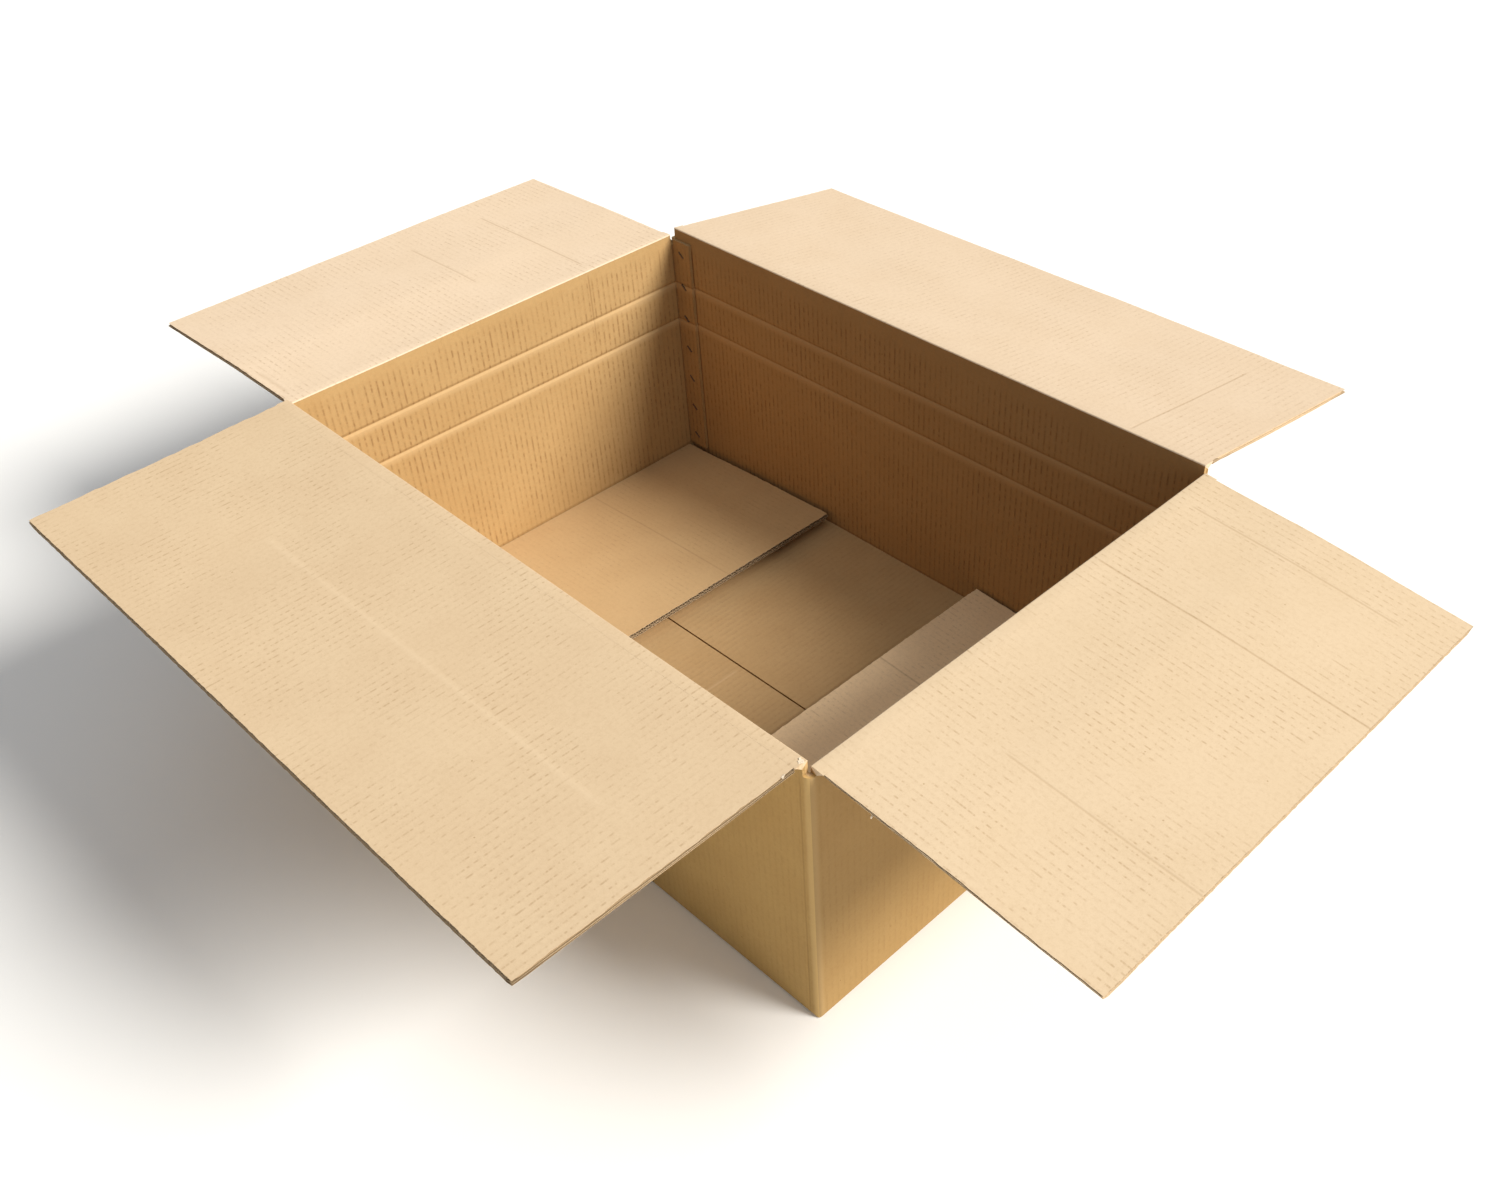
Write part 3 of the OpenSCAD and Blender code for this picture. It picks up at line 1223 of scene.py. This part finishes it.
    def crush_share(self, point: Vector) -> float:
        """Share of the side crush at a point: full at the outer liner's side edges, and none inside."""
        side = clamp(1 - (self.run / 2 - abs(point.x)) / self.side_crush_reach)
        return clamp(1 - point.z / BOARD.thickness) * side * side * (3 - 2 * side)

    def build(self) -> Piece:
        """Join the sheets, crush the sides, warp the board a little and put it in place.

        Returns:
            The finished flap.
        """
        select_only(*self.sheets())
        bpy.ops.object.join()
        flap = bpy.context.active_object
        flap.name = self.name
        weigh(flap, "crushed_sides", self.crush_share)
        weigh(flap, "free_to_warp", lambda point: clamp((-point.y - self.warp_from) / self.warp_reach))
        add_displace(flap, None, "Z", self.side_crush, "crushed_sides", 0.0)
        # Long flaps warp outwards and short ones inwards, so that they clear each other when closed.
        add_displace(flap, WARP, "Z", self.warp, "free_to_warp", 1.0 if self.side.is_long else 0.0)
        apply_modifiers(flap)
        settle(flap, self.place, self.smooth_deg)
        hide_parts(self.node)
        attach(flap, self.body)
        return flap


@dataclass
class FloorFlap(FlapBoard):
    """A short bottom flap, which folds in over the floor and hinges on its upper face."""

    BODY: ClassVar[str] = "{}_floor_flap"
    NODE: ClassVar[str] = "{}_bottom_flap"

    flutes: FluteFinish = SHADED_FLOOR_FLUTES
    reach: float = 272.4 * MM
    root: float = 0.6 * MM
    torn: float = 2.2 * MM
    warp: float = 2.0 * MM

    @property
    def heading_deg(self) -> float:
        """Turn about the upright axis from the level flap to the inside of the flap's wall."""
        return self.side.value + 180

    @property
    def place(self) -> Matrix:
        """Turn from the level flap at the origin to the flap's place under its hinge."""
        return super().place @ Matrix.Translation((0, 0, -BOARD.thickness))


class PressWay(Enum):
    """The direction that a scrap would be pressed along, on the level flap; nothing presses it here."""

    DOWN = (0.0, 0.0, 1.0)
    ALONG_CREASE = (1.0, 0.0, 0.0)
    ACROSS_MITRE = (0.0, 0.707, 0.707)


@dataclass
class TornScrap:
    """A scrap of paper torn loose at a flap's cut side and still held at one end.

    Its place is given on the level flap: along the crease from the flap's middle, out from the crease,
    and the turn of the scrap's free end about the upright.
    """

    name: str
    flap: FlapBoard
    along: float
    out: float
    turn_deg: float
    size: Span
    lift: float
    press_way: PressWay = PressWay.DOWN
    sunk: float = 0.0
    ragged: float = 1.2 * MM
    taper_from_share: float = 0.1
    taper: float = 0.45
    faces: Grid = (14, 10)
    kept_share: float = 0.05

    def build(self) -> Piece:
        """Tear a small sheet's outline, curl its free end and set it on the flap.

        Returns:
            The finished scrap.
        """
        length, width = self.size
        scrap = add_grid(self.name, self.size, self.faces)
        with editing(scrap, lambda point: point.x > self.taper_from_share * length):
            bpy.ops.transform.resize(value=(1.0, self.taper, 1.0))
        weigh(scrap, "ragged",
              lambda point: clamp(max(point.x / length + 0.5, 2 * abs(point.y) / width)) ** 2)
        weigh(scrap, "free_end", lambda point: (point.x / length + 0.5) ** 2)
        for direction in "XY":
            add_displace(scrap, RAGGED, direction, self.ragged, "ragged")
        add_displace(scrap, None, "Z", self.lift, "free_end", 0.0)
        add_thickness(scrap, BOARD.liner)
        apply_modifiers(scrap)
        place = self.flap.place
        spot = Matrix.Translation((self.along, -self.out, BOARD.thickness + BOARD.liner - self.sunk))
        settle(scrap, place @ spot @ turned(self.turn_deg, "Z"))
        scrap.data.materials.append(TORN_PAPER.build())
        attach(scrap, self.flap.body)
        self.flap.joint["name"]
        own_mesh(scrap)
        return scrap


@dataclass
class CreaseFold:
    """The crushed board inside a crease, which bends from a wall over to its top flap.

    It slopes in from the wall, bends tightly close to the crease's axis, and slopes out to the flap.
    """

    SHARE: ClassVar[str] = "flap_share"

    flap: FlapBoard
    wall_tone: KraftTone
    sunk: float = 0.15 * MM
    slope: float = math.radians(27)
    slope_rows: int = 3
    bend_radius: float = 2.5 * MM
    bend_steps: int = 8
    crushed: float = 2.0 * MM
    crumple: float = 0.6 * MM
    set_back: float = 1.9 * MM
    column: float = 5.0 * MM

    @property
    def face(self) -> float:
        """Distance of the fold's faces from the crease's axis, on the wall and on the flap."""
        return BOARD.thickness - self.sunk

    @property
    def turn(self) -> float:
        """Angle from the wall's face to the flap's, in radians."""
        return math.pi / 2 - math.radians(self.flap.tilt_deg)

    @staticmethod
    def towards(angle: float) -> Vector:
        """Unit vector in the fold's section at an angle from the wall's face to the flap's."""
        return Vector((0, math.cos(angle), math.sin(angle)))

    @property
    def centre(self) -> Vector:
        """Centre of the tight bend, on the line that halves the fold."""
        half = self.turn / 2
        reach = self.face * (math.cos(self.slope) - math.sin(self.slope)) - self.bend_radius
        return reach / math.cos(half - self.slope) * self.towards(half)

    @cached_property
    def corners(self) -> tuple[Vector, Vector]:
        """Where the slopes start on the wall and end on the flap, one board from the crease."""
        wall = Vector((0, self.face, -self.face))
        flap = self.towards(self.turn) + self.towards(self.turn + math.pi / 2)
        return wall, self.face * flap

    @property
    def place(self) -> Matrix:
        """Turn from the level crease at the origin to its place on the box."""
        return Matrix.Translation(self.flap.pivot) @ turned(self.flap.heading_deg, "Z")

    def share_at(self, place: Vector) -> float:
        """How far a point is round the bend, from 0 at the wall to 1 at the flap."""
        first, last = self.corners
        return clamp((place - first).yz.dot((last - first).yz) / (last - first).length_squared)

    def strip(self) -> Piece:
        """Slope a strip up from the wall, spin it round the bend and draw it out to the flap.

        Returns:
            The fold's face, not yet thickened.
        """
        run = self.flap.run - 2 * self.set_back
        wall, flap = self.corners
        bend_start = self.centre + self.bend_radius * self.towards(self.slope)
        bend_end = self.centre + self.bend_radius * self.towards(self.turn - self.slope)
        faces = (round(run / self.column), self.slope_rows)
        with drawn_strip(f"{self.flap.name}_crease", run, faces, wall, bend_start) as fold:
            bpy.ops.mesh.spin(steps=self.bend_steps, angle=self.turn - 2 * self.slope, center=self.centre,
                              axis=(-1, 0, 0))
            draw_out(flap - bend_end, self.slope_rows)
        weld(fold)
        # The faces look away from the crease, so that the thickness grows towards it.
        if min(fold.data.polygons, key=lambda polygon: polygon.center.z).normal.y < 0:
            with editing(fold):
                bpy.ops.mesh.flip_normals()
        return fold

    def build(self) -> Piece:
        """Crumple and thicken the bend and put it in place.

        Returns:
            The finished fold.
        """
        fold = self.strip()
        weigh(fold, "bend", lambda point: 4 * self.share_at(point) * (1 - self.share_at(point)))
        add_displace(fold, CRUMPLE, "NORMAL", self.crumple, "bend")
        add_thickness(fold, self.crushed)
        apply_modifiers(fold)
        kept = fold.data.attributes.new(self.SHARE, "FLOAT", "POINT")
        for vertex, share in zip(fold.data.vertices, kept.data):
            share.value = self.share_at(vertex.co)
        place = self.place
        settle(fold, place)
        finish = KraftFinish(f"Kraft Crease {self.flap.side.name.title()}", self.flap.tone)
        fold.data.materials.append(finish.crease(self.wall_tone))
        first, last = self.corners
        self.flap.body
        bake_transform(fold)
        return fold


class LipHalf(Enum):
    """The side of a crease that a lip belongs to."""

    WALL = "wall"
    FLAP = "flap"


@dataclass
class CreaseLip:
    """The board's inner face at an open crease, on the wall's side or round the bend on the flap's.

    The two lips meet just under the bend.
    """

    crease: CreaseFold
    half: LipHalf
    finish: Material
    axis_gap: float = 0.2 * MM
    flush: float = 0.06 * MM
    overlap: float = 0.4 * MM
    bend_radius: float = 1.6 * MM
    bend_steps: int = 5
    lean: float = 0.35 * MM
    wave: float = 0.9 * MM
    wave_from: float = 1.1 * BOARD.thickness
    set_back: float = 0.4 * MM
    column: float = 6.0 * MM
    mitre: float = math.pi / 4
    pressed_in: float = 0.17 * MM
    kept_share: float = 0.005

    @property
    def on_wall(self) -> bool:
        """Whether the lip belongs to the wall."""
        return self.half is LipHalf.WALL

    def outline(self) -> list[Vector]:
        """Corners of the lip's section.

        Returns:
            The corners, from the crease's axis outwards and round.
        """
        towards, turn = self.crease.towards, self.crease.turn
        face = BOARD.thickness + self.flush
        foot = BOARD.thickness + self.overlap
        axis = self.axis_gap * towards(turn / 2)
        centre = (face - self.bend_radius) / math.cos(turn / 2) * towards(turn / 2)
        lean = Vector((0, self.lean, 0))
        if self.on_wall:
            return [axis, Vector((0, face, -foot)), centre + self.bend_radius * towards(0) - lean]
        bend = [centre + self.bend_radius * towards(turn * (1 - step / self.bend_steps))
                for step in range(self.bend_steps + 1)]
        bend[-1] -= lean
        return [axis, face * towards(turn) + foot * towards(turn + math.pi / 2), *bend]

    def section(self, run: float) -> Piece:
        """Draw the section out of a strip, join its last corner to its first and cap both ends.

        Args:
            run: Length of the lip.

        Returns:
            The lip as a closed solid, at the origin.
        """
        corners = self.outline()
        faces = (round(run / self.column), 1)
        name = f"{self.crease.flap.name}_{self.half.value}_lip"
        with drawn_strip(name, run, faces, *corners[:2]) as lip:
            for start, end in zip(corners[1:], [*corners[2:], corners[0]]):
                draw_out(end - start)
        weld(lip)
        for sign in (-1, 1):
            with editing(lip, lambda point: sign * point.x > run / 2 - END_SLACK):
                bpy.ops.mesh.edge_face_add()
        weld(lip)
        return lip

    def is_free(self, point: Vector) -> bool:
        """Whether a point is on the upper bend, away from the boards, where the lip waves."""
        return point.z > 0 and point.y > 0 and point.yz.length > self.wave_from

    def build(self) -> Piece:
        """Wave the lip a little and put it in place.

        Returns:
            The finished lip.
        """
        flap = self.crease.flap
        lip = self.section(flap.run - 2 * self.set_back)
        weigh(lip, "bend", lambda point: float(self.is_free(point)))
        add_displace(lip, RIM_WAVE, "Z", self.wave, "bend")
        apply_modifiers(lip)
        place = self.crease.place
        settle(lip, place)
        lip.data.materials.append(self.finish)
        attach(lip, "box" if self.on_wall else flap.body)
        normal = self.mitre if self.on_wall else self.crease.turn - self.mitre
        press = place.to_3x3() @ self.crease.towards(normal)
        flap.joint["name"]
        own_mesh(lip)
        return lip


@dataclass
class Studio:
    """Pale floor, soft light and the camera at the photograph's view."""

    photo_width: float = 1500.0
    photo_height: float = 1200.0
    focal_px: float = 1476.5
    centre_px: Span = (812.6, 647.9)
    camera_at: tuple[float, float, float] = (0.9805, -0.8275, 1.1536)
    camera_right: tuple[float, float, float] = (0.70912, 0.70453, -0.02799)
    camera_down: tuple[float, float, float] = (0.44915, -0.48196, -0.75232)
    sensor_mm: float = 36.0
    nearest: float = 20.0 * MM
    sun_from: tuple[float, float, float] = (0.712, 0.372, 0.595)
    sun_power: float = 4.8
    sun_spread_deg: float = 24.0
    sun_color: Color = (1.0, 0.965, 0.90)
    sky_color: Color = (0.97, 0.985, 1.0)
    sky_power: Span = (0.13, 0.58)
    sky_span: Span = (-0.7, 0.8)
    backdrop_power: float = 0.94
    floor_size: float = 60.0
    floor_faces: Grid = (4, 4)
    floor_drop: float = 0.2 * MM
    floor_grain: Grain = Grain(3.0)
    floor_dark: Color = (0.86, 0.86, 0.855)
    floor_light: Color = (0.90, 0.90, 0.895)
    floor_roughness: float = 0.9
    floor_specular: float = 0.2

    def build_camera(self) -> None:
        """Place the camera that was fitted to the box's corners."""
        camera = bpy.data.cameras.new("Camera")
        camera.sensor_fit = "HORIZONTAL"
        camera.sensor_width = self.sensor_mm
        camera.lens = self.sensor_mm * self.focal_px / self.photo_width
        camera.shift_x = 0.5 - self.centre_px[0] / self.photo_width
        camera.shift_y = (self.centre_px[1] - self.photo_height / 2) / self.photo_width
        camera.clip_start = self.nearest
        right = Vector(self.camera_right).normalized()
        up = -Vector(self.camera_down)
        up = (up - up.dot(right) * right).normalized()
        turn = Matrix((right, up, right.cross(up))).transposed().to_4x4()
        eye = bpy.data.objects.new("Camera", camera)
        eye.matrix_world = Matrix.Translation(self.camera_at) @ turn
        bpy.context.scene.collection.objects.link(eye)
        bpy.context.scene.camera = eye

    def build_sun(self) -> None:
        """Add one soft key light from the right."""
        sun = bpy.data.lights.new("Key", "SUN")
        sun.energy = self.sun_power
        sun.angle = math.radians(self.sun_spread_deg)
        sun.color = self.sun_color
        key = bpy.data.objects.new("Key", sun)
        key.rotation_euler = Vector(self.sun_from).to_track_quat("Z", "Y").to_euler()
        bpy.context.scene.collection.objects.link(key)

    def build_surround(self) -> None:
        """Add a surround that grows brighter towards the sun, and is plain where the camera sees it."""
        world = bpy.data.worlds.new("Surround")
        world.use_nodes = True
        n = NodeTree(world.node_tree)
        towards = n.add("ShaderNodeVectorMath")
        towards.operation = "DOT_PRODUCT"
        n.plug(towards.inputs[0], n.add("ShaderNodeTexCoord").outputs["Generated"])
        n.plug(towards.inputs[1], self.sun_from)
        light = n.mix(n.ramp(towards.outputs["Value"], *self.sky_span), *self.sky_power)
        seen = n.add("ShaderNodeLightPath").outputs["Is Camera Ray"]
        n.feed(world.node_tree.nodes["Background"], Color=(*self.sky_color, 1.0),
               Strength=n.mix(seen, light, self.backdrop_power))
        bpy.context.scene.world = world
        bpy.context.scene.view_settings.view_transform = "Standard"

    def build_floor(self) -> None:
        """Lay a plain pale floor under the box."""
        size = (self.floor_size, self.floor_size)
        floor = add_grid("floor", size, self.floor_faces, (0, 0, -self.floor_drop))
        f = Finish("Pale Floor", self.floor_roughness, self.floor_specular)
        patch = f.nodes.noise(f.place, self.floor_grain)
        tone = f.nodes.mix_color(patch, self.floor_dark, self.floor_light)
        floor.data.materials.append(f.paint(Base_Color=tone))

    def build(self) -> None:
        """Build the whole studio."""
        self.build_camera()
        self.build_sun()
        self.build_surround()
        self.build_floor()


# The walls' copy of the kraft is darker and more saturated than the flaps': painted shade, for the dimmer
# and warmer light that the walls get.
WALL_TONE = KraftTone(
    light=(0.50, 0.324, 0.143), dark=(0.475, 0.301, 0.128), dash=(0.23, 0.118, 0.042),
    lip=(0.585, 0.40, 0.205), dash_share=0.60, dash_length=8.0 * MM, dash_thin=0.70,
    dash_sparse=0.40, quiet=0.45, ridge_depth=0.10 * MM, ridge_share=0.12)
WALL_PRESSES = (
    Press(134.0 * MM, 230.0 * MM, 318.0 * MM, 0.45, side=Side.LEFT),
    Press(-3.0 * MM, -75.0 * MM, -9.0 * MM, 0.55, 2.4 * MM, raised=True),
    Press(268.6 * MM, 12.0 * MM, 312.0 * MM, 0.85, 1.5 * MM, side=Side.LEFT),
    Press(-361.4 * MM, 12.0 * MM, 312.0 * MM, 0.90, 1.7 * MM, side=Side.BACK),
    Press(388.5 * MM, 6.0 * MM, 314.0 * MM, 0.30, 1.5 * MM, side=Side.FRONT, beyond=279.0 * MM),
)


def top_flaps() -> tuple[FlapBoard, FlapBoard, FlapBoard, FlapBoard]:
    """The top flaps, each with its tilt, its tone and the lines pressed into it.

    Returns:
        The front, right, back and left flap.
    """
    front = FlapBoard(
        Side.FRONT, -0.5, KraftTone(),
        (Press(-414.0 * MM, -189.0 * MM, 311.0 * MM, 0.35, 5.0 * MM, crosses=True, raised=True),),
        flutes=EDGE_SHADED_FLUTES, nicked=3.6 * MM)
    right = FlapBoard(
        Side.RIGHT, -6.5, KraftTone(light=(0.64, 0.498, 0.335), dark=(0.625, 0.482, 0.318)),
        (Press(92.0 * MM, 400.0 * MM, 690.0 * MM, 0.42),
         Press(220.0 * MM, 415.0 * MM, 630.0 * MM, 0.36),
         Press(-150.0 * MM, 490.0 * MM, 680.0 * MM, 0.30)),
        side_crush=5.6 * MM)
    back = FlapBoard(
        Side.BACK, -8.0, KraftTone(light=(0.66, 0.52, 0.375), dark=(0.645, 0.502, 0.355), dash_share=0.34),
        (Press(300.0 * MM, 280.0 * MM, 499.0 * MM, 0.34),))
    left = FlapBoard(
        Side.LEFT, -2.0, KraftTone(light=(0.735, 0.582, 0.425), dark=(0.72, 0.565, 0.405), dash_share=0.38),
        (Press(142.0 * MM, -626.0 * MM, -416.0 * MM, 0.40),
         Press(28.0 * MM, -616.0 * MM, -476.0 * MM, 0.32),
         Press(-261.0 * MM, -478.0 * MM, -420.0 * MM, 0.20, 4.0 * MM)))
    return front, right, back, left


def floor_flaps() -> tuple[FloorFlap, FloorFlap]:
    """The short bottom flaps, each with its tilt, its tone and the line pressed into it.

    Returns:
        The left and the right flap.
    """
    left = FloorFlap(
        Side.LEFT, 2.5, KraftTone(light=(0.565, 0.385, 0.20), dark=(0.54, 0.362, 0.185), dash_share=0.30),
        (Press(92.0 * MM, -390.0 * MM, -125.0 * MM, 0.30),))
    # The right floor flap's tone is much lighter than the left's: painted light, for the light that it gets
    # from the lit left wall and the open top.
    right = FloorFlap(
        Side.RIGHT, 4.0, KraftTone(light=(0.93, 0.70, 0.44), dark=(0.90, 0.67, 0.415), dash_share=0.30),
        (Press(100.0 * MM, 117.0 * MM, 190.0 * MM, 0.35),))
    return left, right


def torn_scraps(front: FlapBoard, right: FlapBoard) -> tuple[TornScrap, TornScrap, TornScrap]:
    """The scraps torn loose at the near corner and at the right flap's near side.

    Args:
        front: The front top flap.
        right: The right top flap.

    Returns:
        The scraps at the corner, at the front flap's edge and at the right flap's side.
    """
    corner = TornScrap("corner_scrap", front, along=389.0 * MM, out=-2.0 * MM, turn_deg=150.0,
                       size=(6.0 * MM, 5.0 * MM), lift=0.6 * MM, press_way=PressWay.ACROSS_MITRE,
                       ragged=2.6 * MM)
    edge = TornScrap("edge_scrap", front, along=391.0 * MM, out=19.0 * MM, turn_deg=100.0,
                     size=(4.0 * MM, 2.0 * MM), lift=0.4 * MM)
    side = TornScrap("side_scrap", right, along=-271.0 * MM, out=59.0 * MM, turn_deg=195.0,
                     size=(6.0 * MM, 3.0 * MM), lift=-2.0 * MM, press_way=PressWay.ALONG_CREASE,
                     sunk=0.9 * MM)
    return corner, edge, side


def dress_node(node: str, material: Material) -> None:
    """Give a carried-over CAD node its finish in every slot.

    Args:
        node: Name of the node.
        material: Its finish.
    """
    piece = frame["nodes"][node]
    if not piece.material_slots:
        piece.data.materials.append(material)
    for slot in piece.material_slots:
        slot.material = material
    LOG.info("dressed %s", node)


def main() -> None:
    """Build the studio, the flaps with their creases and scraps, and dress the walls, stitches and tape."""
    logging.basicConfig(level=logging.INFO, format="%(name)s: %(message)s")
    Studio().build()
    walls = KraftFinish("Kraft Walls", WALL_TONE).walls(WallMarks(), WALL_PRESSES)
    tops = top_flaps()
    parts = []
    for flap in tops:
        fold = CreaseFold(flap, WALL_TONE)
        lips = (CreaseLip(fold, LipHalf.WALL, walls), CreaseLip(fold, LipHalf.FLAP, flap.papers[0]))
        parts += [flap, fold, *lips]
    for part in (*parts, *torn_scraps(*tops[:2]), *floor_flaps()):
        LOG.info("built %s", part.build().name)
    dress_node("box_body", walls)
    dress_node("wire_stitches", WireFinish().build())
    dress_node("bottom_tape", TapeFinish().build())


if __name__ == "__main__":
    main()
